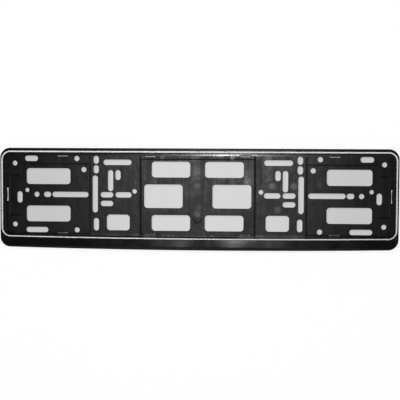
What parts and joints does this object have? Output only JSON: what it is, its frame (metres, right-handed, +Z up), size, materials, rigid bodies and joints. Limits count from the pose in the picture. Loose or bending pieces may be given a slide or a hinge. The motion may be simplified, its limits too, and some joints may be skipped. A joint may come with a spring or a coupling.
{
  "type": "number plate holder",
  "caption": "Black moulded number plate holder: shallow tray with pierced screw floor, snap lips, wide plain lower bar and a thin silver line round the rim.",
  "frame": {"origin": "middle of the plate recess, on the back plane that meets the bumper", "axes": "+X across the plate to the viewer's right, +Z up, the front faces -Y and the back faces +Y"},
  "size_m": [0.5318, 0.0114, 0.1361],
  "materials": {
    "black_plastic": "satin moulded black, glossier on the rim and the bar",
    "silver_trim": "satin silver foil"
  },
  "bodies": {
    "root": {"holder_body": "black_plastic", "trim_strip": "silver_trim"}
  },
  "joints": []
}
